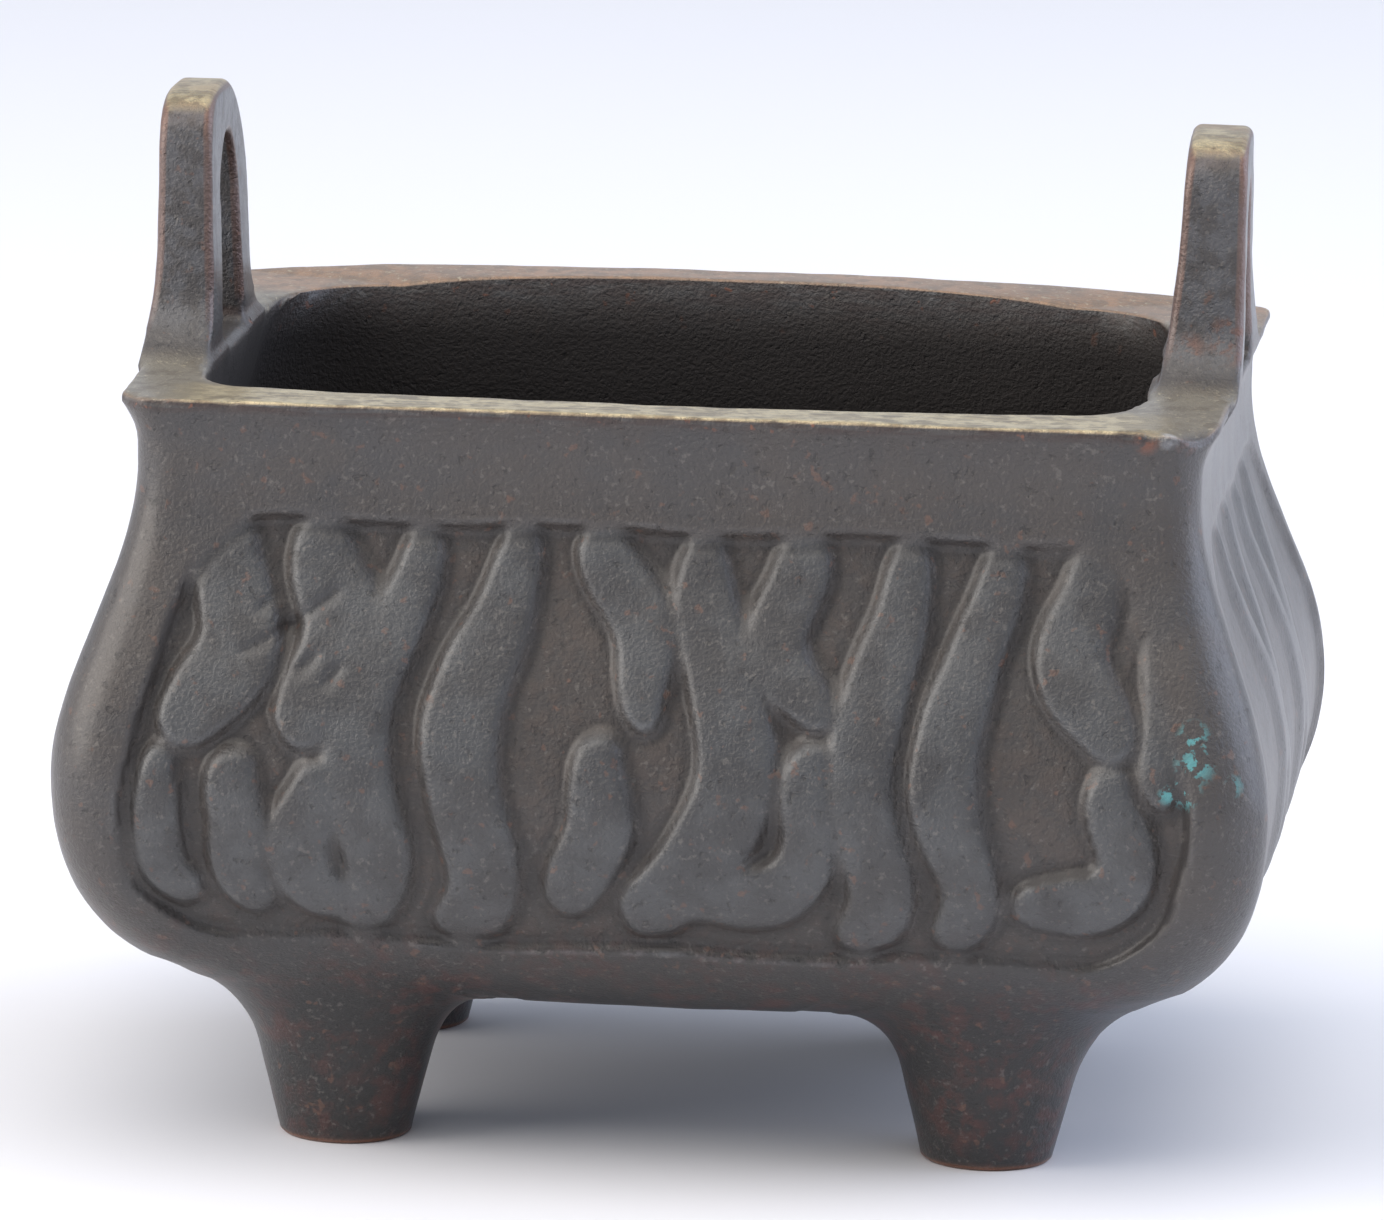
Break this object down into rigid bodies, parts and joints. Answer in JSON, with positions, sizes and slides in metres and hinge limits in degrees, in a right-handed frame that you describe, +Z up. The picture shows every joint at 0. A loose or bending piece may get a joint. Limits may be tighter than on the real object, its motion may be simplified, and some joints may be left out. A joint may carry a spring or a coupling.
{
  "type": "incense burner",
  "caption": "Small footed rectangular bronze incense burner: bellied open bowl, flat lip, upright loop handles on the short sides, sunk panels with raised strokes.",
  "frame": {"origin": "on the ground plane under the feet, in the middle of the object's box", "axes": "+Z up, X along the long side through both handles, -Y the front with the finest panel"},
  "size_m": [0.093, 0.0704, 0.0756],
  "materials": {
    "patinated_bronze": "dark brown satin patina on cast bronze, worn to pale metal on the lip and handle tops, with small green corrosion spots"
  },
  "bodies": {
    "root": {"censer": "patinated_bronze"}
  },
  "joints": []
}
